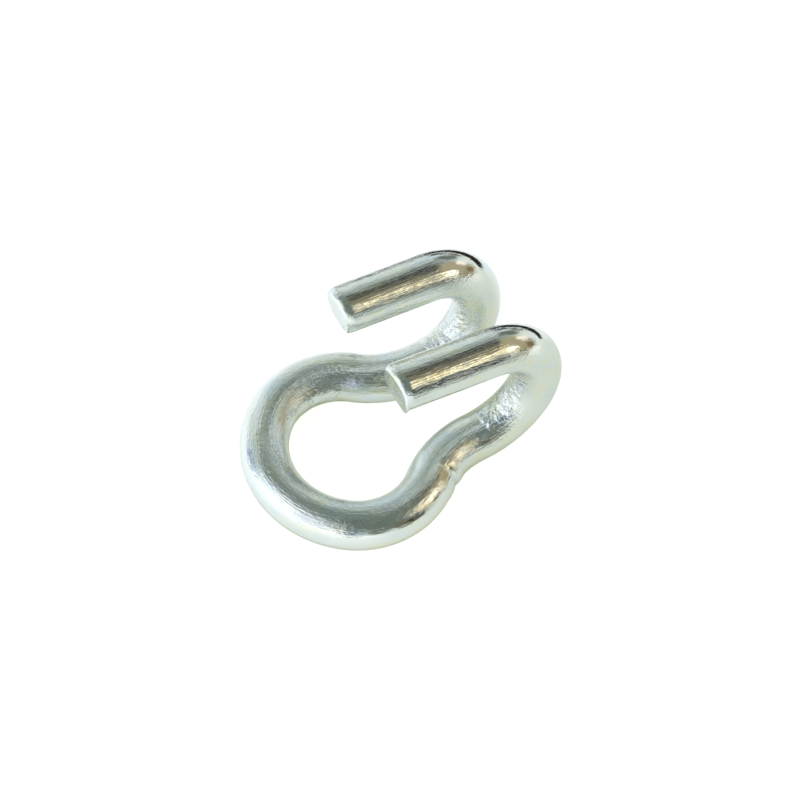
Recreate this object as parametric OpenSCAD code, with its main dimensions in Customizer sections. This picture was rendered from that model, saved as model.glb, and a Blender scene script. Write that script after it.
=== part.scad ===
// U-hook bent from one length of round wire: a keyhole eye whose two ends run
// out side by side as short legs and turn back over themselves as open hooks.
// Lengths in millimetres, angles in degrees. +X runs from the eye to the hooks,
// +Z is up, and the wire lies on Z = 0.
// The wire is followed the way it is formed: each piece starts where the last
// one ended, in a frame whose X axis points on along the wire.

/* [Wire] */
// Diameter of the round wire
wire_d = 5; // [3:0.1:6]
// How much a bend over a former thins the wire, on the radius
bend_draw = 0.01; // [0.005:0.005:0.03]
// Length of wire over which a thinned bend swells back to full size
bend_lead = 0.05; // [0.03:0.01:0.1]
// Width of the edge that the cutter breaks round each sheared end
cut_edge = 0.35; // [0.1:0.05:0.8]

/* [Eye] */
// Radius of the wire's centre line round the crown of the eye
crown_r = 9.65; // [8:0.05:12]
// Angle that each half of the crown sweeps
crown_a = 51; // [35:0.5:58]
// Centre-line radius of the two shoulders, where the eye closes in
shoulder_r = 7.6; // [6.5:0.05:9.5]

/* [Legs] */
// Centre-line radius of the necks that turn the eye into the legs
neck_r = 10; // [7:0.1:12]
// Clear gap between the two legs
leg_gap = 5.1; // [4.2:0.1:7]
// Straight length of each leg, between its neck and its hook
leg_l = 0.5; // [0.3:0.1:12]

/* [Near hook] */
// Centre-line radius of the near hook
near_hook_r = 7; // [5.5:0.1:9]
// Angle that the near hook turns the wire back through
near_hook_a = 169.3; // [150:0.1:178]
// How far the near hook leans out from the middle of the part
near_lean = 0; // [-5:0.5:15]
// Straight length of the near hook's arm
near_arm_l = 10.8; // [5:0.1:14]

/* [Far hook] */
// Centre-line radius of the far hook
far_hook_r = 6.5; // [5.5:0.1:9]
// Angle that the far hook turns the wire back through
far_hook_a = 171.4; // [150:0.1:178]
// How far the far hook leans out from the middle of the part
far_lean = 6.5; // [-5:0.5:15]
// Straight length of the far hook's arm
far_arm_l = 10; // [5:0.1:14]

/* [Hidden] */
// Facets round the wire and round a full turn of a bend
wire_facets = 40;
bend_facets = 60;

wire_r = wire_d / 2;
bent_wire_r = wire_r - bend_draw;
leg_y = (leg_gap + wire_d) / 2;

// The legs come out parallel, so the shoulders sweep past square by the same
// angle as the necks turn back. Summing the arcs sideways gives that angle.
crown_rise = (crown_r - shoulder_r) * sin(crown_a);
neck_a = acos((leg_y + neck_r - crown_rise) / (shoulder_r + neck_r));
shoulder_a = 90 + neck_a - crown_a;

// Summing the same arcs lengthwise gives where each leg starts.
crown_x = crown_r * (1 - cos(crown_a));
shoulder_x = shoulder_r * (cos(crown_a) + sin(neck_a));
neck_x = neck_r * sin(neck_a);
leg_x = crown_x + shoulder_x + neck_x;
reach_x = leg_x + leg_l + max(near_hook_r, far_hook_r);

// A bend to the left over a former, swelling back to full size past both ends.
module drawn_bend(r, a) {
    lead_a = bend_lead / r * 180 / PI;
    translate([0, r, 0])
        rotate([0, 0, -90 - lead_a])
            rotate_extrude(angle = a + 2 * lead_a, $fn = bend_facets)
                translate([r, 0])
                    circle(r = bent_wire_r, $fn = wire_facets);
}

// A bend to the left that keeps the wire's full size.
module free_bend(r, a) {
    translate([0, r, 0])
        rotate([0, 0, -90])
            rotate_extrude(angle = a, $fn = bend_facets)
                translate([r, 0])
                    circle(r = wire_r, $fn = wire_facets);
}

// Moves the frame on to the end of a bend to the left.
module past_bend(r, a) {
    translate([0, r, 0])
        rotate([0, 0, a])
            translate([0, -r, 0])
                children();
}

// A straight length of wire.
module straight(l) {
    rotate([0, 90, 0])
        cylinder(r = wire_r, h = l, $fn = wire_facets);
}

// The last straight length, ending in the sheared face with its broken edge.
module cut_straight(l) {
    rotate([0, 90, 0])
        rotate_extrude($fn = wire_facets)
            polygon([
                [0, 0],
                [wire_r, 0],
                [wire_r, l - cut_edge],
                [wire_r - cut_edge, l],
                [0, l]
            ]);
}

// A hook: the bend back over the leg, then its arm.
module open_hook(r, a, arm_l) {
    drawn_bend(r, a);
    past_bend(r, a)
        cut_straight(arm_l);
}

// One side of the part from the end of the crown to the sheared end. It turns
// over before the neck, to bend the other way, and again to lift the hook.
module side(hook_r, hook_a, lean, arm_l) {
    free_bend(shoulder_r, shoulder_a);
    past_bend(shoulder_r, shoulder_a)
        rotate([180, 0, 0]) {
            drawn_bend(neck_r, neck_a);
            past_bend(neck_r, neck_a) {
                straight(leg_l);
                translate([leg_l, 0, 0])
                    rotate([lean - 90, 0, 0])
                        open_hook(hook_r, hook_a, arm_l);
            }
        }
}

// The crown of the eye, from one shoulder across to the other.
module crown() {
    rotate([0, 0, -90])
        past_bend(crown_r, -crown_a)
            drawn_bend(crown_r, 2 * crown_a);
}

module hook() {
    color("silver")
        translate([-reach_x / 2, 0, wire_r]) {
            crown();
            rotate([0, 0, -90])
                past_bend(crown_r, crown_a)
                    side(near_hook_r, near_hook_a, near_lean, near_arm_l);
            mirror([0, 1, 0])
                rotate([0, 0, -90])
                    past_bend(crown_r, crown_a)
                        side(far_hook_r, far_hook_a, far_lean, far_arm_l);
        }
}

hook();
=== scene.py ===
# %% [markdown]
# # A u-hook in bright zinc-plated wire
# The object is one length of 5 mm steel wire. Its middle is bent to a keyhole
# eye, its two ends run out side by side as short legs, and each end turns back
# over its leg as an open hook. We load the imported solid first: every size below
# is in metres and in the solid's own frame, so nothing has to be fitted by eye.

# %% Load the solid
from math import acos, atan2, cos, degrees, exp, pi, radians, sin
import bpy
import bmesh
from mathutils import Matrix, Vector, noise


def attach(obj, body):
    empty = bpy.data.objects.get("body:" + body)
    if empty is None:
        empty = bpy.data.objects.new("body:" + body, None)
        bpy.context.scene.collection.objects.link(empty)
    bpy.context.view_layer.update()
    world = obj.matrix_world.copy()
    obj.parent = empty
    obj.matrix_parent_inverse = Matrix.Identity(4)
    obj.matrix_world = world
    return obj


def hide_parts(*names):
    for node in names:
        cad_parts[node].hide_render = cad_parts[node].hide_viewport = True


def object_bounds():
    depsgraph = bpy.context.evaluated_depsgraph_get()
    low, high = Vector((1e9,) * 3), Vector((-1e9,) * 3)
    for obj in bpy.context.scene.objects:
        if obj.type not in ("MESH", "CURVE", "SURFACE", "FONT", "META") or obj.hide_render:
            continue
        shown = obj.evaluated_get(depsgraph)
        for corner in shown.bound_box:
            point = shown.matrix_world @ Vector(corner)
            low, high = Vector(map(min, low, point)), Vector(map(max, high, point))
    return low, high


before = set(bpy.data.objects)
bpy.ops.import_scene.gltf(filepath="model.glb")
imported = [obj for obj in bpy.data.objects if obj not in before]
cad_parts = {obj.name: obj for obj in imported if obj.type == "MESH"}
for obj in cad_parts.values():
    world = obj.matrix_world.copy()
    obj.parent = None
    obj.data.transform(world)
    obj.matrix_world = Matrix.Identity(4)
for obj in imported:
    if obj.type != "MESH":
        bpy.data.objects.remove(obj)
cad_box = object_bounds()
MM = 0.001
print("solid, mm:", [round(v / MM, 2) for v in (*cad_box[0], *cad_box[1])])

# %% [markdown]
# ## Camera
# A small object is best shown from some distance through a long lens, so that
# near and far hook look the same size. We place the camera on a line that
# leaves the object at a chosen bearing and height, and choose the lens from the
# width that should fill the frame.

# %% Make the camera
CAMERA_BEARING = radians(31.7)
CAMERA_HEIGHT = radians(56.3)
CAMERA_ROLL = radians(0.7)
CAMERA_DISTANCE = 0.8
FRAME_WIDTH = 80.1 * MM
AIM = Vector((-1.1, 0.0, 6.5)) * MM

look = Vector((sin(CAMERA_BEARING) * cos(CAMERA_HEIGHT),
               cos(CAMERA_BEARING) * cos(CAMERA_HEIGHT),
               -sin(CAMERA_HEIGHT)))
lens = bpy.data.cameras.new("long lens")
camera = bpy.data.objects.new("camera", lens)
bpy.context.scene.collection.objects.link(camera)
lens.sensor_width = 36.0
lens.lens = lens.sensor_width * CAMERA_DISTANCE / FRAME_WIDTH
lens.shift_x = 0.0191
lens.shift_y = 0.0137
lens.clip_start, lens.clip_end = 0.01, 20.0
camera.rotation_mode = "QUATERNION"
turn = look.to_track_quat("-Z", "Y") @ Matrix.Rotation(CAMERA_ROLL, 3, "Z").to_quaternion()
camera.rotation_quaternion = turn
camera.location = AIM - look * CAMERA_DISTANCE
bpy.context.scene.camera = camera
bpy.context.scene.view_settings.view_transform = "Standard"
print("lens, mm:", round(lens.lens, 1))

# %% [markdown]
# ## Small helpers for node trees
# Both the studio and the finish are node trees. A helper that adds a node, sets
# its values and joins its inputs keeps each of the later cells short.

# %% Node helpers
def add(tree, kind, **values):
    node = tree.nodes.new(kind)
    for name, value in values.items():
        setattr(node, name, value)
    return node


def feed(tree, node, **inputs):
    """Sets or joins inputs; a key such as i0 or i1 means the input of that number."""
    for key, value in inputs.items():
        by_number = key[0] == "i" and key[1:].isdigit()
        socket = node.inputs[int(key[1:])] if by_number else node.inputs[key.replace("_", " ")]
        if isinstance(value, bpy.types.NodeSocket):
            tree.links.new(value, socket)
        else:
            socket.default_value = value
    return node


def maths(tree, operation, a, b=0.0, c=0.0):
    node = add(tree, "ShaderNodeMath", operation=operation)
    feed(tree, node, i0=a, i1=b)
    if operation == "MULTIPLY_ADD":
        feed(tree, node, i2=c)
    return node.outputs[0]


def smooth_step(tree, value, low, high, start=0.0, end=1.0):
    node = add(tree, "ShaderNodeMapRange", interpolation_type="SMOOTHSTEP")
    feed(tree, node, Value=value, From_Min=low, From_Max=high, To_Min=start, To_Max=end)
    return node.outputs[0]


def distance_to(tree, place, point):
    node = add(tree, "ShaderNodeVectorMath", operation="DISTANCE")
    return feed(tree, node, i0=place, i1=point).outputs["Value"]


def blend_colour(tree, share, a, b):
    node = add(tree, "ShaderNodeMix", data_type="RGBA")
    feed(tree, node, i0=share, i6=a, i7=b)
    return node.outputs[2]


def direction(bearing, height):
    """A unit vector: bearing turns from +X towards +Y, height is above the table."""
    a, e = radians(bearing), radians(height)
    return (cos(a) * cos(e), sin(a) * cos(e), sin(e))


# %% [markdown]
# ## The studio, painted on the world
# Bare metal has hardly any colour of its own: it shows the room. A product
# studio is a white table with white cards on one side, an open, darker side
# where the camera stands, and a lamp or two. We paint these as soft round
# patches on the world, each one a direction, an inner and an outer angle, so
# the same room is there from every viewpoint. Their numbers were worked out
# backwards: first from the colour that this wire should mirror in each direction,
# then by moving a patch until its band fell where it should. So this room is less
# plain than a real light tent, and it suits this object only. The camera itself
# sees plain white.

# %% One soft patch of the studio
patch = bpy.data.node_groups.new("Studio patch", "ShaderNodeTree")
for name, kind in (("Ray", "NodeSocketVector"), ("Towards", "NodeSocketVector"),
                   ("Inner cosine", "NodeSocketFloat"), ("Outer cosine", "NodeSocketFloat"),
                   ("Behind", "NodeSocketColor"), ("Colour", "NodeSocketColor")):
    patch.interface.new_socket(name=name, in_out="INPUT", socket_type=kind)
patch.interface.new_socket(name="Colour", in_out="OUTPUT", socket_type="NodeSocketColor")
entry = add(patch, "NodeGroupInput")
exit_ = add(patch, "NodeGroupOutput")
dot = add(patch, "ShaderNodeVectorMath", operation="DOT_PRODUCT")
feed(patch, dot, i0=entry.outputs["Ray"], i1=entry.outputs["Towards"])
share = smooth_step(patch, dot.outputs["Value"], entry.outputs["Outer cosine"], entry.outputs["Inner cosine"])
feed(patch, exit_, i0=blend_colour(patch, share, entry.outputs["Behind"], entry.outputs[5]))
print("nodes in a studio patch:", len(patch.nodes))

# %% Cards, walls and dark openings
WHITE_CARD = (1.20, 1.25, 1.28, 1)
PALE_WALL = (0.72, 0.80, 0.76, 1)
STUDIO_PATCHES = (
    # bearing, height, inner angle, outer angle, colour
    (122, 24, 12, 30, (0.600, 0.700, 0.690, 1)),
    (118, 58, 8, 20, (0.200, 0.260, 0.260, 1)),
    (-166, 25, 4, 13, (0.640, 0.740, 0.780, 1)),
    (-30, 75, 30, 66, (0.190, 0.235, 0.210, 1)),
    (-101, 42, 19, 30, (0.160, 0.195, 0.165, 1)),
    (-126, 22, 5, 14, (0.160, 0.210, 0.240, 1)),
    (-100, 16, 8, 18, (0.190, 0.220, 0.180, 1)),
    (-22, 26, 24, 36, (0.430, 0.375, 0.245, 1)),
    (-26, 52, 6, 15, (0.220, 0.210, 0.145, 1)),
    (8, 57, 9, 16, (0.080, 0.080, 0.068, 1)),
    (54, 46, 8, 18, (0.380, 0.435, 0.375, 1)),
    (32, 22, 7, 15, (0.150, 0.170, 0.155, 1)),
    (84, 26, 3, 9, (0.300, 0.380, 0.360, 1)),
    (-146, 35, 5, 12, (0.260, 0.330, 0.390, 1)),
    (-124, 3, 6, 14, (0.560, 0.660, 0.660, 1)),
    (52, 3, 4, 9, (0.020, 0.020, 0.016, 1)),
    (-16, 4, 5, 10, (0.220, 0.160, 0.080, 1)),
    (2, 18, 6, 10, (1.050, 0.980, 0.800, 1)),
    (10, 7, 5, 9, (0.850, 0.850, 0.820, 1)),
    (36, 2, 5, 10, (0.180, 0.190, 0.180, 1)),
    (-74, 14, 9, 18, (0.150, 0.140, 0.090, 1)),
    (-62, 4, 8, 13, (0.010, 0.008, 0.004, 1)),
    (-38, 3, 4, 8, (0.085, 0.085, 0.050, 1)),
    (131, 10, 6, 12, (0.260, 0.320, 0.500, 1)),
    (-62, 67, 2, 6, (0.020, 0.022, 0.020, 1)),
    (-124, 70, 3, 8, (0.030, 0.035, 0.035, 1)),
    (-42, 15, 3, 6, (1.100, 1.000, 0.750, 1)),
    (-34, 25, 5, 8, (2.200, 2.050, 1.600, 1)),
    (-44, 30, 4, 7, (2.000, 1.750, 1.150, 1)),
    (-54, 32, 4, 7, (1.500, 1.280, 0.820, 1)),
)
print("studio patches:", len(STUDIO_PATCHES))

# %% Paint the world with them
world = bpy.data.worlds.new("studio")
bpy.context.scene.world = world
world.use_nodes = True
room = world.node_tree
room.nodes.clear()
ray = add(room, "ShaderNodeTexCoord").outputs["Generated"]
split = feed(room, add(room, "ShaderNodeSeparateXYZ"), i0=ray)
to_cards = smooth_step(room, split.outputs["X"], 0.25, -0.70)
colour = blend_colour(room, to_cards, PALE_WALL, WHITE_CARD)
for bearing, height, inner, outer, tone in STUDIO_PATCHES:
    group = add(room, "ShaderNodeGroup", node_tree=patch)
    feed(room, group, Ray=ray, Towards=direction(bearing, height), Inner_cosine=cos(radians(inner)),
         Outer_cosine=cos(radians(outer)), Behind=colour, i5=tone)
    colour = group.outputs[0]
sees = add(room, "ShaderNodeLightPath")
colour = blend_colour(room, sees.outputs["Is Camera Ray"], colour, (1, 1, 1, 1))
background = feed(room, add(room, "ShaderNodeBackground"), Color=colour, Strength=1.0)
room.links.new(background.outputs[0], add(room, "ShaderNodeOutputWorld").inputs["Surface"])
print("nodes in the world:", len(room.nodes))

# %% [markdown]
# ## The table
# The wire lies on a plain pale table. A matt surface alone would only be as
# bright as the light that falls on it, so part of its white comes from a light
# of its own that only the camera and the metal see. The rest is true diffuse
# light, which keeps the object's soft shadow.
#
# The metal isn't shown the same table as the camera. It sees one with the
# studio's light and shade painted on: darker and slightly tinted in front, lighter
# behind and by the cards, with a pale pool of painted lamp light, two black areas
# of painted dark reflection, and a painted shade close under the wire. A bare wire
# that mirrored only white would lose the dark bands that make it look round.

# %% Areas of the table that only the metal sees
# two of these areas are painted dark reflections and one is a painted pool of light, all seen by the metal
# only
# centre, then the radii where each area starts to fade in and where it is full, in metres
PAINTED_DARK_REFLECTION_BACK = ((0.102, 0.094, 0), 0.095, 0.088)
PAINTED_DARK_REFLECTION_FRONT = ((0.064, -0.125, 0), 0.064, 0.054)
LIGHT_POOL = ((0.110, -0.085, 0), 0.060, 0.040)
CONTACT_SHADE_REACH = 9 * MM

# the table as the metal sees it, with painted light and shade: darker in front, lighter behind, brightest by
# the cards
TABLE_FRONT = (0.39, 0.42, 0.36, 1)
TABLE_BACK = (0.58, 0.61, 0.61, 1)
TABLE_FAR_OFF = (0.52, 0.53, 0.46, 1)
TABLE_BY_THE_CARDS = (0.80, 0.85, 0.90, 1)
POOL_COLOUR = (0.90, 0.88, 0.78, 1)
# black of the painted dark reflections
PAINTED_DARK_REFLECTION = (0.004, 0.004, 0.003, 1)
CONTACT_SHADE = (0.15, 0.17, 0.07, 1)


def round_area(tree, place, centre, starts, full):
    return smooth_step(tree, distance_to(tree, place, centre), starts, full)


print("contact shade reaches, mm:", round(CONTACT_SHADE_REACH / MM, 1))

# %% Make the table
TABLE_RADIUS = 1.0
TABLE_BELOW_WIRE = 0.02 * MM
table_mesh = bpy.data.meshes.new("table")
shape = bmesh.new()
bmesh.ops.create_circle(shape, cap_ends=True, segments=96, radius=TABLE_RADIUS)
shape.to_mesh(table_mesh)
shape.free()
table = bpy.data.objects.new("table", table_mesh)
bpy.context.scene.collection.objects.link(table)
table.location.z = -TABLE_BELOW_WIRE
print("table radius, m:", TABLE_RADIUS)

# %% What the metal sees of the table
table_top = bpy.data.materials.new("white table")
table_top.use_nodes = True
tree = table_top.node_tree
tree.nodes.clear()
sees = add(tree, "ShaderNodeLightPath")
place = add(tree, "ShaderNodeTexCoord").outputs["Object"]
flat = feed(tree, add(tree, "ShaderNodeSeparateXYZ"), i0=place)
# painted light and shade for the metal: lighter towards the cards, darker in front
near_cards = smooth_step(tree, flat.outputs["X"], 0.02, -0.06)
far_off = smooth_step(tree, distance_to(tree, place, (0, 0, 0)), 0.05, 0.12)
behind = smooth_step(tree, flat.outputs["Y"], -0.004, 0.014)
close_by = blend_colour(tree, behind, TABLE_FRONT, TABLE_BACK)
open_side = blend_colour(tree, far_off, close_by, TABLE_FAR_OFF)
seen_by_metal = blend_colour(tree, near_cards, open_side, TABLE_BY_THE_CARDS)
dark_reflection_back = round_area(tree, place, *PAINTED_DARK_REFLECTION_BACK)
dark_reflection_front = round_area(tree, place, *PAINTED_DARK_REFLECTION_FRONT)
pool = round_area(tree, place, *LIGHT_POOL)
seen_by_metal = blend_colour(tree, pool, seen_by_metal, POOL_COLOUR)
# the painted dark reflections: black for the metal, in the glow and in the matt part
painted_dark_reflections = maths(tree, "MAXIMUM", dark_reflection_back, dark_reflection_front)
seen_by_metal = blend_colour(tree, painted_dark_reflections, seen_by_metal, PAINTED_DARK_REFLECTION)
shade = add(tree, "ShaderNodeAmbientOcclusion", samples=6)
feed(tree, shade, Distance=CONTACT_SHADE_REACH)
in_shade = smooth_step(tree, shade.outputs["AO"], 0.85, 0.35)
seen_by_metal = blend_colour(tree, in_shade, seen_by_metal, CONTACT_SHADE)
print("nodes for what the metal sees:", len(tree.nodes))

# %% What the camera sees, and the matt part
OWN_LIGHT = (0.80, 0.80, 0.80, 1)
MATT_WHITE = (0.8, 0.8, 0.79, 1)
MATT_BLACK = (0.03, 0.03, 0.03, 1)
glow = blend_colour(tree, sees.outputs["Is Camera Ray"], seen_by_metal, OWN_LIGHT)
seen = maths(tree, "MAXIMUM", sees.outputs["Is Camera Ray"], sees.outputs["Is Glossy Ray"])
dimmed = maths(tree, "MULTIPLY", painted_dark_reflections, sees.outputs["Is Glossy Ray"])
matt_colour = blend_colour(tree, dimmed, MATT_WHITE, MATT_BLACK)
matt = feed(tree, add(tree, "ShaderNodeBsdfDiffuse"), Color=matt_colour)
own = feed(tree, add(tree, "ShaderNodeEmission"), Color=glow, Strength=seen)
both = feed(tree, add(tree, "ShaderNodeAddShader"), i0=matt.outputs[0], i1=own.outputs[0])
tree.links.new(both.outputs[0], add(tree, "ShaderNodeOutputMaterial").inputs["Surface"])
table.data.materials.append(table_top)
print("nodes in the table's material:", len(tree.nodes))

# %% [markdown]
# ## The path of the wire
# A wire former feeds the wire, bends it over a round tool, turns it and bends
# it again. We follow the same steps in a frame whose X axis always points on
# along the wire. Each side starts in the middle of the eye's crown. The crown
# and the shoulder curve one way, the neck curves back until the leg runs
# straight, and then the frame rolls over so that the hook lifts off the table.

# %% Sizes of the wire, in metres and degrees
WIRE_D = 5 * MM
BEND_DRAW = 0.01 * MM
CROWN_R, CROWN_A = 9.65 * MM, 51
SHOULDER_R = 7.6 * MM
NECK_R = 10 * MM
LEG_GAP, LEG_L = 5.1 * MM, 0.5 * MM
TIP_RUN = 1.1 * MM
HOOKS = {
    # bend radius, bend angle, lean outwards, arm length
    "near": (7.0 * MM, 169.3, 0.0, 10.8 * MM),
    "far": (6.5 * MM, 171.4, 6.5, 10.0 * MM),
}
leg_y = (LEG_GAP + WIRE_D) / 2
rise = (CROWN_R - SHOULDER_R) * sin(radians(CROWN_A))
neck_a = degrees(acos((leg_y + NECK_R - rise) / (SHOULDER_R + NECK_R)))
shoulder_a = 90 + neck_a - CROWN_A
print("neck and shoulder angle:", round(neck_a, 2), round(shoulder_a, 2))

# %% Follow the wire out from the middle of the crown
STEP = 0.16 * MM


def bend(place, radius, angle):
    """Points round a bend to the left, and the frame at its end."""
    centre = place @ Matrix.Translation((0, radius, 0))
    count = max(4, round(radius * radians(angle) / STEP))
    turns = [Matrix.Rotation(radians(angle) * i / count, 4, "Z") for i in range(1, count + 1)]
    points = [(centre @ t @ Vector((0, -radius, 0))) for t in turns]
    return points, centre @ turns[-1] @ Matrix.Translation((0, -radius, 0))


def straight(place, length):
    count = max(2, round(length / STEP))
    points = [place @ Vector((length * i / count, 0, 0)) for i in range(1, count + 1)]
    return points, place @ Matrix.Translation((length, 0, 0))


def follow(hook_r, hook_a, lean, arm_l):
    place = Matrix.Translation((cad_box[0].x + WIRE_D / 2 - BEND_DRAW, 0, WIRE_D / 2))
    place = place @ Matrix.Rotation(-pi / 2, 4, "Z")
    points = [place.translation.copy()]
    for radius, angle in ((CROWN_R, CROWN_A), (SHOULDER_R, shoulder_a)):
        part, place = bend(place, radius, angle)
        points += part
    part, place = bend(place @ Matrix.Rotation(pi, 4, "X"), NECK_R, neck_a)
    points += part
    part, place = straight(place, LEG_L)
    points += part
    part, place = bend(place @ Matrix.Rotation(radians(lean - 90), 4, "X"), hook_r, hook_a)
    points += part
    part, place = straight(place, arm_l - TIP_RUN)
    return points + part


near_run = follow(*HOOKS["near"])
far_half = follow(*HOOKS["far"])
print("points on each half:", len(near_run), len(far_half))

# %% [markdown]
# ## How much the wire is bent at each point
# A tight bend roughens the plating on its inside and leaves its outside smooth.
# So each point of the path also gets a curl: a vector that points to the inside
# of the bend and is about 1 long in a hook. The sweep turns it into two plain
# numbers on the surface, how far a point lies on the inside and how bent the
# wire is there, and the finish reads both. The curl is averaged over a little
# more than a millimetre, so that no bend starts with a jump.

# %% Join the halves into one path
CURL_REACH, EASE_REACH = 4, 7


def flip(point):
    return Vector((point.x, -point.y, point.z))


far_run = [flip(p) for p in far_half[1:]]
route = near_run[::-1] + far_run


def curl_at(i):
    """Points to the inside of the bend; about 1 long in a hook, 0 on a straight."""
    a, b, c = (route[min(max(i + k, 0), len(route) - 1)] for k in (-CURL_REACH, 0, CURL_REACH))
    if (b - a).length < STEP or (c - b).length < STEP:
        return Vector((0, 0, 0))
    return ((c - b).normalized() - (b - a).normalized()) / (c - b).length * HOOKS["near"][0]


def eased_curl(i):
    window = [curls[min(max(i + k, 0), len(route) - 1)] for k in range(-EASE_REACH, EASE_REACH + 1)]
    return sum(window, Vector((0, 0, 0))) / len(window)


curls = [curl_at(i) for i in range(len(route))]
curl = [x for i in range(len(route)) for x in eased_curl(i)]

path_mesh = bpy.data.meshes.new("wire path")
path_mesh.from_pydata(route, [(i, i + 1) for i in range(len(route) - 1)], [])
path_mesh.attributes.new("curl", "FLOAT_VECTOR", "POINT").data.foreach_set("vector", curl)
wire = bpy.data.objects.new("zinc_wire", path_mesh)
bpy.context.scene.collection.objects.link(wire)
wire_length = sum((b - a).length for a, b in zip(route, route[1:]))
print("wire length, mm:", round(wire_length / MM, 2), "points:", len(route))

# %% [markdown]
# ## Sweep the wire with Geometry Nodes
# The wire is one round section carried along one path, which is what Curve to
# Mesh does. We could also skin the points by hand, but the node tree keeps the
# section's size and fineness as named inputs. It also stores where each point
# would lie if the wire were pulled straight. Streaks from drawing and plating
# run along the wire, so the finish reads that straightened place and follows
# every bend without a seam. From the curl it stores two numbers more, inside and
# bent. Last, it lifts and lowers the skin by a slight ripple.

# %% Inputs of the sweep
sweep = bpy.data.node_groups.new("Wire sweep", "GeometryNodeTree")
sweep.interface.new_socket(name="Geometry", in_out="INPUT", socket_type="NodeSocketGeometry")
for name, kind, value in (("Facets round", "NodeSocketInt", 96),
                          ("Wire radius", "NodeSocketFloat", WIRE_D / 2),
                          ("Ripple height", "NodeSocketFloat", 0.040 * MM),
                          ("Ripple size", "NodeSocketFloat", 700.0), ("Seed", "NodeSocketInt", 4),
                          ("Finish", "NodeSocketMaterial", None)):
    socket = sweep.interface.new_socket(name=name, in_out="INPUT", socket_type=kind)
    if value is not None:
        socket.default_value = value
sweep.interface.new_socket(name="Geometry", in_out="OUTPUT", socket_type="NodeSocketGeometry")
entry = add(sweep, "NodeGroupInput")
exit_ = add(sweep, "NodeGroupOutput")
print("inputs of the sweep:", len(entry.outputs) - 1)

# %% Carry a ring along the path
line = feed(sweep, add(sweep, "GeometryNodeMeshToCurve"), i0=entry.outputs["Geometry"])
along = add(sweep, "GeometryNodeSplineParameter").outputs["Length"]
keep_along = add(sweep, "GeometryNodeCaptureAttribute")
keep_along.capture_items.new("FLOAT", "along")
feed(sweep, keep_along, Geometry=line.outputs[0], i1=along)
ring = feed(sweep, add(sweep, "GeometryNodeCurvePrimitiveCircle", mode="RADIUS"),
            Resolution=entry.outputs["Facets round"], Radius=entry.outputs["Wire radius"])
keep_ring = add(sweep, "GeometryNodeCaptureAttribute")
keep_ring.capture_items.new("VECTOR", "ring")
feed(sweep, keep_ring, Geometry=ring.outputs[0], i1=add(sweep, "GeometryNodeInputPosition").outputs[0])
skin = add(sweep, "GeometryNodeCurveToMesh")
feed(sweep, skin, Curve=keep_along.outputs[0], Profile_Curve=keep_ring.outputs[0],
     Fill_Caps=False)
ring_xyz = feed(sweep, add(sweep, "ShaderNodeSeparateXYZ"), i0=keep_ring.outputs[1])
pulled = feed(sweep, add(sweep, "ShaderNodeCombineXYZ"), X=keep_along.outputs[1],
              Y=ring_xyz.outputs["X"], Z=ring_xyz.outputs["Y"])
store = feed(sweep, add(sweep, "GeometryNodeStoreNamedAttribute", data_type="FLOAT_VECTOR", domain="POINT"),
             Geometry=skin.outputs[0], Name="pulled_straight", Value=pulled.outputs[0])
print("nodes up to the straightened place:", len(sweep.nodes))

# %% Store how far inside a bend each point lies, and how bent the wire is
facing = add(sweep, "GeometryNodeInputNormal").outputs[0]
curl_read = feed(sweep, add(sweep, "GeometryNodeInputNamedAttribute", data_type="FLOAT_VECTOR"), Name="curl")
inside = feed(sweep, add(sweep, "ShaderNodeVectorMath", operation="DOT_PRODUCT"), i0=facing,
              i1=curl_read.outputs[0]).outputs["Value"]
tight = feed(sweep, add(sweep, "GeometryNodeStoreNamedAttribute", data_type="FLOAT", domain="POINT"),
             Geometry=store.outputs[0], Name="inside", Value=inside)
how_bent = feed(sweep, add(sweep, "ShaderNodeVectorMath", operation="LENGTH"), i0=curl_read.outputs[0])
tight = feed(sweep, add(sweep, "GeometryNodeStoreNamedAttribute", data_type="FLOAT", domain="POINT"),
             Geometry=tight.outputs[0], Name="bent", Value=how_bent.outputs["Value"])
print("nodes up to the bends:", len(sweep.nodes))

# %% Ripple the skin and give it the finish
seeded = feed(sweep, add(sweep, "ShaderNodeVectorMath", operation="ADD"), i0=pulled.outputs[0],
              i1=entry.outputs["Seed"])
waves = feed(sweep, add(sweep, "ShaderNodeTexNoise"), Vector=seeded.outputs[0],
             Scale=entry.outputs["Ripple size"], Detail=2.0, Roughness=0.5)
either_way = maths(sweep, "SUBTRACT", waves.outputs[0], 0.5)
lift = maths(sweep, "MULTIPLY", either_way, entry.outputs["Ripple height"])
push = feed(sweep, add(sweep, "ShaderNodeVectorMath", operation="SCALE"),
            i0=facing, Scale=lift)
moved = feed(sweep, add(sweep, "GeometryNodeSetPosition"), Geometry=tight.outputs[0], Offset=push.outputs[0])
whole = feed(sweep, add(sweep, "GeometryNodeRealizeInstances"), Geometry=moved.outputs[0])
dressed = feed(sweep, add(sweep, "GeometryNodeSetMaterial"), Geometry=whole.outputs[0],
               Material=entry.outputs["Finish"])
sweep.links.new(dressed.outputs[0], exit_.inputs[0])
print("nodes in the sweep:", len(sweep.nodes))

# %% [markdown]
# ## Bright zinc plate
# Electroplated zinc is a metal with a fine grain: it mirrors the room but blurs
# it a little, and thin passivation films tint it faintly yellow, blue or pink.
# Drawing leaves lines along the wire, and a tight bend raises an orange-peel
# texture on its inside. Tint, haze and relief are separate node groups, so each
# can be tuned or used again, and all of them read the straightened place on the
# wire. The relief also reads how bent the wire is: the grain grows in a bend,
# the orange peel grows where the inside is squeezed, and the outside stays smooth.
# A size of film, patch or peel is the scale of a noise, in cells to a metre, so a
# larger number is finer.

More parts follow.
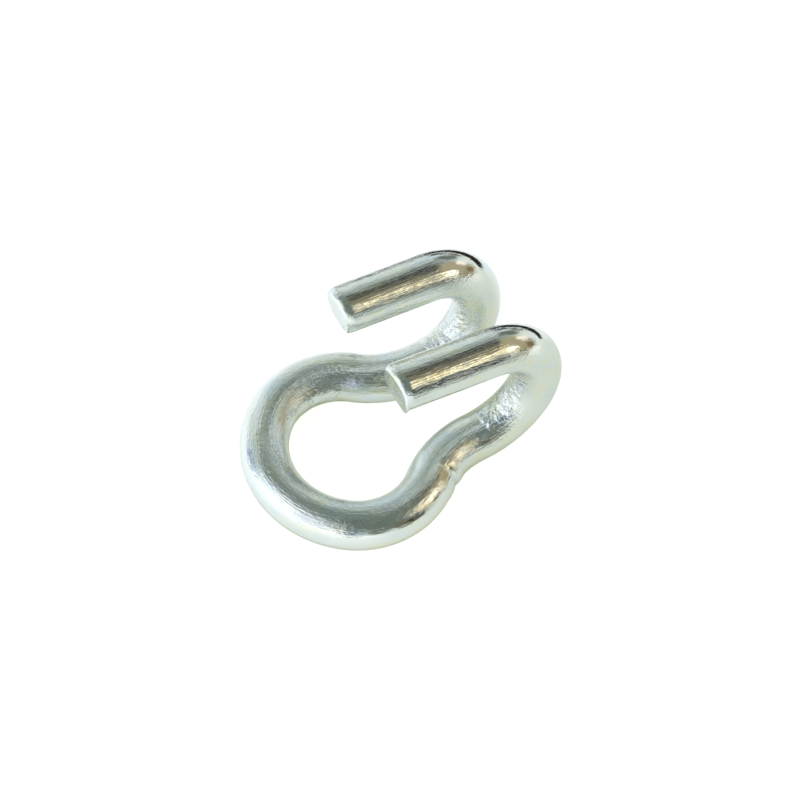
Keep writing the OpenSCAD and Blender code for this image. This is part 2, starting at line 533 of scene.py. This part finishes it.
# %% Tint of the plating
def finish_group(name, inputs, outputs):
    group = bpy.data.node_groups.new(name, "ShaderNodeTree")
    for label, kind, value in inputs:
        socket = group.interface.new_socket(name=label, in_out="INPUT", socket_type=kind)
        if value is not None:
            socket.default_value = value
    for label, kind in outputs:
        group.interface.new_socket(name=label, in_out="OUTPUT", socket_type=kind)
    return group, add(group, "NodeGroupInput"), add(group, "NodeGroupOutput")


def stretched(tree, place, factors, shift=(0, 0, 0)):
    node = add(tree, "ShaderNodeVectorMath", operation="MULTIPLY_ADD")
    return feed(tree, node, i0=place, i1=factors, i2=shift).outputs[0]


def noise_at(tree, place, scale, detail, roughness):
    node = add(tree, "ShaderNodeTexNoise")
    return feed(tree, node, Vector=place, Scale=scale, Detail=detail, Roughness=roughness).outputs[0]


tint, entry, exit_ = finish_group("Plating tint", (
    ("Place", "NodeSocketVector", None), ("Bare colour", "NodeSocketColor", (0.86, 0.89, 0.89, 1)),
    ("Warm film", "NodeSocketColor", (0.88, 0.84, 0.58, 1)),
    ("Cool film", "NodeSocketColor", (0.64, 0.76, 0.95, 1)),
    ("Film size", "NodeSocketFloat", 700.0), ("Film strength", "NodeSocketFloat", 0.36),
), (("Colour", "NodeSocketColor"),))
long_place = stretched(tint, entry.outputs["Place"], (0.45, 1.0, 1.0))
warm = smooth_step(tint, noise_at(tint, long_place, entry.outputs["Film size"], 4.0, 0.65), 0.46, 0.64)
other = stretched(tint, entry.outputs["Place"], (0.45, 1.0, 1.0), (3.1, 1.7, 0.4))
cool = smooth_step(tint, noise_at(tint, other, entry.outputs["Film size"], 4.0, 0.65), 0.48, 0.66)
colour = blend_colour(tint, maths(tint, "MULTIPLY", warm, entry.outputs["Film strength"]),
                      entry.outputs["Bare colour"], entry.outputs["Warm film"])
colour = blend_colour(tint, maths(tint, "MULTIPLY", cool, entry.outputs["Film strength"]),
                      colour, entry.outputs["Cool film"])
feed(tint, exit_, i0=colour)
print("nodes in the tint:", len(tint.nodes))

# %% Haze of the plating
CUT_HAZE = 0.12
haze, entry, exit_ = finish_group("Plating haze", (
    ("Place", "NodeSocketVector", None), ("Cut", "NodeSocketFloat", 0.0),
    ("Clearest", "NodeSocketFloat", 0.025), ("Haziest", "NodeSocketFloat", 0.15),
    ("Patch size", "NodeSocketFloat", 500.0),
), (("Roughness", "NodeSocketFloat"),))
cloud = noise_at(haze, stretched(haze, entry.outputs["Place"], (0.5, 1, 1), (1.3, 0.2, 5.0)),
                 entry.outputs["Patch size"], 4.0, 0.6)
spread = maths(haze, "SUBTRACT", entry.outputs["Haziest"], entry.outputs["Clearest"])
blur = maths(haze, "MULTIPLY_ADD", smooth_step(haze, cloud, 0.35, 0.70), spread, entry.outputs["Clearest"])
feed(haze, exit_, i0=maths(haze, "MULTIPLY_ADD", entry.outputs["Cut"], CUT_HAZE, blur))
print("nodes in the haze:", len(haze.nodes))

# %% Relief of the plating
LINES_SCALE, GRAIN_SCALE = 5200.0, 4200.0
GRAIN_ON_STRAIGHT, GRAIN_IN_BEND = 0.35, 0.6
PEEL_ON_STRAIGHT, PEEL_IN_BEND, PEEL_WHERE_SQUEEZED, PEEL_ON_CUT = 0.10, 0.35, 5.5, 1.0
RELIEF_ON_OUTSIDE = 0.2
relief, entry, exit_ = finish_group("Plating relief", (
    ("Place", "NodeSocketVector", None), ("Bent", "NodeSocketFloat", 0.0), ("Inside", "NodeSocketFloat", 0.0),
    ("Cut", "NodeSocketFloat", 0.0), ("Drawn lines", "NodeSocketFloat", 0.042),
    ("Grain", "NodeSocketFloat", 0.052), ("Orange peel", "NodeSocketFloat", 0.060),
    ("Peel size", "NodeSocketFloat", 1200.0),
), (("Height", "NodeSocketFloat"),))
lines = noise_at(relief, stretched(relief, entry.outputs["Place"], (0.06, 1, 1)), LINES_SCALE, 2.0, 0.6)
grain = noise_at(relief, stretched(relief, entry.outputs["Place"], (0.6, 1, 1), (7, 2, 1)),
                 GRAIN_SCALE, 3.0, 0.6)
peel = noise_at(relief, stretched(relief, entry.outputs["Place"], (0.8, 1, 1), (2, 9, 4)),
                entry.outputs["Peel size"], 2.0, 0.5)
squeezed = smooth_step(relief, entry.outputs["Inside"], 0.68, 1.00)
eased = smooth_step(relief, entry.outputs["Inside"], -0.45, -0.90, 1.0, RELIEF_ON_OUTSIDE)
grain_share = maths(relief, "MULTIPLY_ADD", entry.outputs["Bent"], GRAIN_IN_BEND, GRAIN_ON_STRAIGHT)
peel_share = maths(relief, "MULTIPLY_ADD", entry.outputs["Bent"], PEEL_IN_BEND, PEEL_ON_STRAIGHT)
peel_share = maths(relief, "MULTIPLY_ADD", squeezed, PEEL_WHERE_SQUEEZED, peel_share)
peel_share = maths(relief, "MULTIPLY_ADD", entry.outputs["Cut"], PEEL_ON_CUT, peel_share)
height = maths(relief, "MULTIPLY", lines, entry.outputs["Drawn lines"])
grain_height = maths(relief, "MULTIPLY", grain, entry.outputs["Grain"])
height = maths(relief, "MULTIPLY_ADD", grain_height, grain_share, height)
peel_height = maths(relief, "MULTIPLY", peel, entry.outputs["Orange peel"])
height = maths(relief, "MULTIPLY_ADD", peel_height, peel_share, height)
feed(relief, exit_, i0=maths(relief, "MULTIPLY", height, eased))
print("finish groups:", tint.name, haze.name, relief.name)

# %% The material
zinc = bpy.data.materials.new("bright zinc plate")
zinc.use_nodes = True
tree = zinc.node_tree
tree.nodes.clear()
place = add(tree, "ShaderNodeAttribute", attribute_name="pulled_straight").outputs["Vector"]
inside = add(tree, "ShaderNodeAttribute", attribute_name="inside").outputs["Fac"]
cut = add(tree, "ShaderNodeAttribute", attribute_name="cut").outputs["Fac"]
bent = add(tree, "ShaderNodeAttribute", attribute_name="bent").outputs["Fac"]
metal = add(tree, "ShaderNodeBsdfPrincipled")
feed(tree, metal, Metallic=1.0, IOR=1.5)
tinted = feed(tree, add(tree, "ShaderNodeGroup", node_tree=tint), Place=place)
hazed = feed(tree, add(tree, "ShaderNodeGroup", node_tree=haze), Place=place, Cut=cut)
raised = feed(tree, add(tree, "ShaderNodeGroup", node_tree=relief), Place=place, Bent=bent,
              Inside=inside, Cut=cut)
bump = feed(tree, add(tree, "ShaderNodeBump"), Strength=1.0, Distance=MM, Height=raised.outputs[0])
tree.links.new(tinted.outputs[0], metal.inputs["Base Color"])
tree.links.new(hazed.outputs[0], metal.inputs["Roughness"])
tree.links.new(bump.outputs[0], metal.inputs["Normal"])
tree.links.new(metal.outputs[0], add(tree, "ShaderNodeOutputMaterial").inputs["Surface"])
print("nodes in the finish:", len(tree.nodes))

# %% Run the sweep and keep its result as a plain mesh
modifier = wire.modifiers.new("sweep", "NODES")
modifier.node_group = sweep
socket_of = {s.name: s.identifier for s in sweep.interface.items_tree
             if s.item_type == "SOCKET" and s.in_out == "INPUT"}
modifier[socket_of["Finish"]] = zinc
graph = bpy.context.evaluated_depsgraph_get()
swept = bpy.data.meshes.new_from_object(wire.evaluated_get(graph), depsgraph=graph)
wire.modifiers.remove(modifier)
wire.data = swept
print("swept faces:", len(swept.polygons))

# %% [markdown]
# ## The tool mark in the near neck
# The neck was bent over a narrow tool, and the tool left its mark: a short
# crease across the outside of the neck, with the metal swollen a little on
# either side. A crease is too sharp for a texture, because it shows in the
# outline, so we press it into the mesh. Each point is moved along its own radius
# of the wire by a sum of smooth bumps, and a bump is only a depth, a place along
# the wire, a length and a width round it.

# %% Press the tool mark
MARKED_FROM, MARKED_TO = 17 * MM, 24 * MM
NEAR_SIDE = sum((b - a).length for a, b in zip(near_run, near_run[1:]))
MARKS = (
    # height, place from the middle of the crown, length along the wire, width round it in degrees
    (-0.38 * MM, 20.35 * MM, 0.26 * MM, 44),
    (0.13 * MM, 19.20 * MM, 0.75 * MM, 60),
    (0.16 * MM, 21.45 * MM, 0.85 * MM, 60),
)


def press(mesh, marks, outward):
    straight_place = mesh.attributes["pulled_straight"].data
    ring_normals = [v.vector for v in mesh.vertex_normals]
    moved = 0
    for vertex, at, normal in zip(mesh.vertices, straight_place, ring_normals):
        along = NEAR_SIDE - at.vector.x
        if not MARKED_FROM < along < MARKED_TO:
            continue
        off = degrees(normal.angle(outward))
        lift = sum(height * exp(-((along - place) / length) ** 2 - (off / width) ** 2)
                   for height, place, length, width in marks)
        vertex.co += normal * lift
        moved += 1
    return moved


neck_at = min(range(len(near_run)), key=lambda i: abs(i * STEP - MARKS[0][1]))
neck_line = (near_run[neck_at + 2] - near_run[neck_at - 2]).normalized()
outward = Vector((neck_line.y, -neck_line.x, 0))
print("points near the tool mark:", press(swept, MARKS, outward))

# %% [markdown]
# ## The sheared ends
# A cutter does not leave a clean disc. Its blade comes in from above, and draws
# the edge down there into a long, shallow roll that ends in a round lip. It
# leaves the first part of the face smooth, the rest breaks away rough, and the
# last of the metal stands up as a burr. The face isn't square to the wire: its
# upper side stands further out. We build each end ring by ring from the last
# ring of the sweep: first over the roll and lip, whose size changes round the
# wire, then inwards across the face. The solid has a flat, square face here, so
# this is the one place where the wire's form departs from it.

# %% Profile of a sheared end
SLANT = 0.28
FACE_MIDDLE = 0.34 * MM
ROLL_LONG, ROLL_SHORT = 1.30 * MM, 0.20 * MM
ROLL_SLOPE = radians(30)
BURR_WIDTH, BURR_FOOT, BURR_FADE, BURR_LEAN = 36, 0.5 * MM, 5, 0.4
LIP_SHARE, ROLL_SPREAD = 0.50, 0.6
BREAK_FROM, BREAK_OVER = 0.6 * MM, 0.8 * MM
BREAK_LIFT, LUMP_HEIGHT, LUMP_SIZE = 0.06 * MM, 0.09 * MM, 0.6 * MM
ROLL_STEPS, LIP_STEPS, FACE_STEPS = 8, 7, 10
CUT_ON_RIM = 0.4


def rim_profile(entry_share):
    """Radius lost and distance back from the face, over the shallow roll and the round lip.
    entry_share is 1 where the blade came in and -1 where it went out."""
    roll = ROLL_SHORT + (ROLL_LONG - ROLL_SHORT) * (0.5 + 0.5 * entry_share) ** ROLL_SPREAD
    lip = roll * LIP_SHARE
    run = roll - lip * (1 - sin(ROLL_SLOPE))
    drop = run * sin(ROLL_SLOPE) / cos(ROLL_SLOPE) / 2
    points = [(drop * (i / ROLL_STEPS) ** 2, roll - run * i / ROLL_STEPS) for i in range(ROLL_STEPS)]
    for i in range(LIP_STEPS):
        t = ROLL_SLOPE + (pi / 2 - ROLL_SLOPE) * i / (LIP_STEPS - 1)
        points.append((drop + lip * (cos(ROLL_SLOPE) - cos(t)), lip * (1 - sin(t))))
    return points


def roughness_of_face(entry_side, across, seed):
    """How far the face stands out: level where the blade came in, then broken."""
    lumps = noise.noise(Vector((entry_side, across, seed)) / LUMP_SIZE + Vector((seed, 0, 0)))
    broken = min(1.0, max(0.0, (BREAK_FROM - entry_side) / BREAK_OVER))
    return broken * (BREAK_LIFT + LUMP_HEIGHT * lumps)


print("longest roll, mm:", ROLL_LONG / MM)


# %% Build one sheared end
def shear_end(mesh, centre, out, onwards, burr_height, seed):
    """Closes the open ring round centre. out points off the end, and onwards is 1
    where the length along the wire grows towards this end and -1 at the other."""
    shape = bmesh.new()
    shape.from_mesh(mesh)
    place_of = shape.verts.layers.float_vector["pulled_straight"]
    cut_of = shape.verts.layers.float.get("cut") or shape.verts.layers.float.new("cut")
    entry_way = (BLADE_FROM - out * BLADE_FROM.dot(out)).normalized()
    burr_way = (BURR_AT - out * BURR_AT.dot(out)).normalized()
    cross = out.cross(entry_way)
    first = [v for v in shape.verts if v.is_boundary and (v.co - centre).length < WIRE_D]
    first.sort(key=lambda v: atan2((v.co - centre).dot(cross), (v.co - centre).dot(entry_way)))
    spokes = [(v.co - centre).normalized() for v in first]
    rim_steps = ROLL_STEPS + LIP_STEPS
    ring = first
    for step in range(rim_steps + FACE_STEPS):
        new = []
        for spoke, source in zip(spokes, first):
            rim = rim_profile(max(-1.0, min(1.0, spoke.dot(entry_way))))
            lost, back = rim[min(step, rim_steps - 1)]
            off_burr = degrees(acos(max(-1.0, min(1.0, spoke.dot(burr_way)))))
            burr = burr_height * exp(-(off_burr / BURR_WIDTH) ** 2)
            shrink = 1 - max(0, step - rim_steps + 1) / (FACE_STEPS + 1)
            reach = (WIRE_D / 2 - lost) * shrink
            edge = max(0.0, 1 - back / BURR_FOOT - (1 - shrink) * BURR_FADE) ** 2
            entry_side, across = reach * spoke.dot(entry_way), reach * spoke.dot(cross)
            rise = TIP_RUN + FACE_MIDDLE - back + SLANT * entry_side + BURR_LEAN * burr * edge
            if step >= rim_steps:
                rise += roughness_of_face(entry_side, across, seed)
            point = centre + spoke * (reach + burr * edge) + out * rise
            vertex = shape.verts.new(point)
            ring_place = source[place_of] * (reach / (WIRE_D / 2))
            vertex[place_of] = Vector((source[place_of].x + rise * onwards, ring_place.y, ring_place.z))
            vertex[cut_of] = 1.0 if step >= rim_steps else CUT_ON_RIM
            new.append(vertex)
        for i, vertex in enumerate(new):
            j = (i + 1) % len(new)
            shape.faces.new((ring[i], ring[j], new[j], vertex))
        ring = new
    lowest = TIP_RUN + FACE_MIDDLE + roughness_of_face(0.0, 0.0, seed)
    middle = shape.verts.new(centre + out * lowest)
    middle[place_of] = Vector((first[0][place_of].x + lowest * onwards, 0, 0))
    middle[cut_of] = 1.0
    for i, vertex in enumerate(ring):
        shape.faces.new((vertex, ring[(i + 1) % len(ring)], middle))
    bmesh.ops.recalc_face_normals(shape, faces=shape.faces)
    shape.to_mesh(mesh)
    shape.free()
    return len(mesh.polygons)


# %% Close both ends
near_out = (near_run[-1] - near_run[-2]).normalized()
far_out = (far_run[-1] - far_run[-2]).normalized()
BLADE_FROM, BURR_AT = Vector((0, 0, 1)), Vector((0, -0.85, -0.5))
NEAR_BURR, FAR_BURR = 0.50 * MM, 0.20 * MM
NEAR_SEED, FAR_SEED = 1.3, 4.9
shear_end(swept, near_run[-1], near_out, -1, NEAR_BURR, NEAR_SEED)
faces = shear_end(swept, far_run[-1], far_out, 1, FAR_BURR, FAR_SEED)
print("faces with both ends closed:", faces)

# %% Hand the wire over
swept.shade_smooth()
SHARP_EDGE = radians(38)
swept.set_sharp_from_angle(angle=SHARP_EDGE)
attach(wire, "root")
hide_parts("hook")
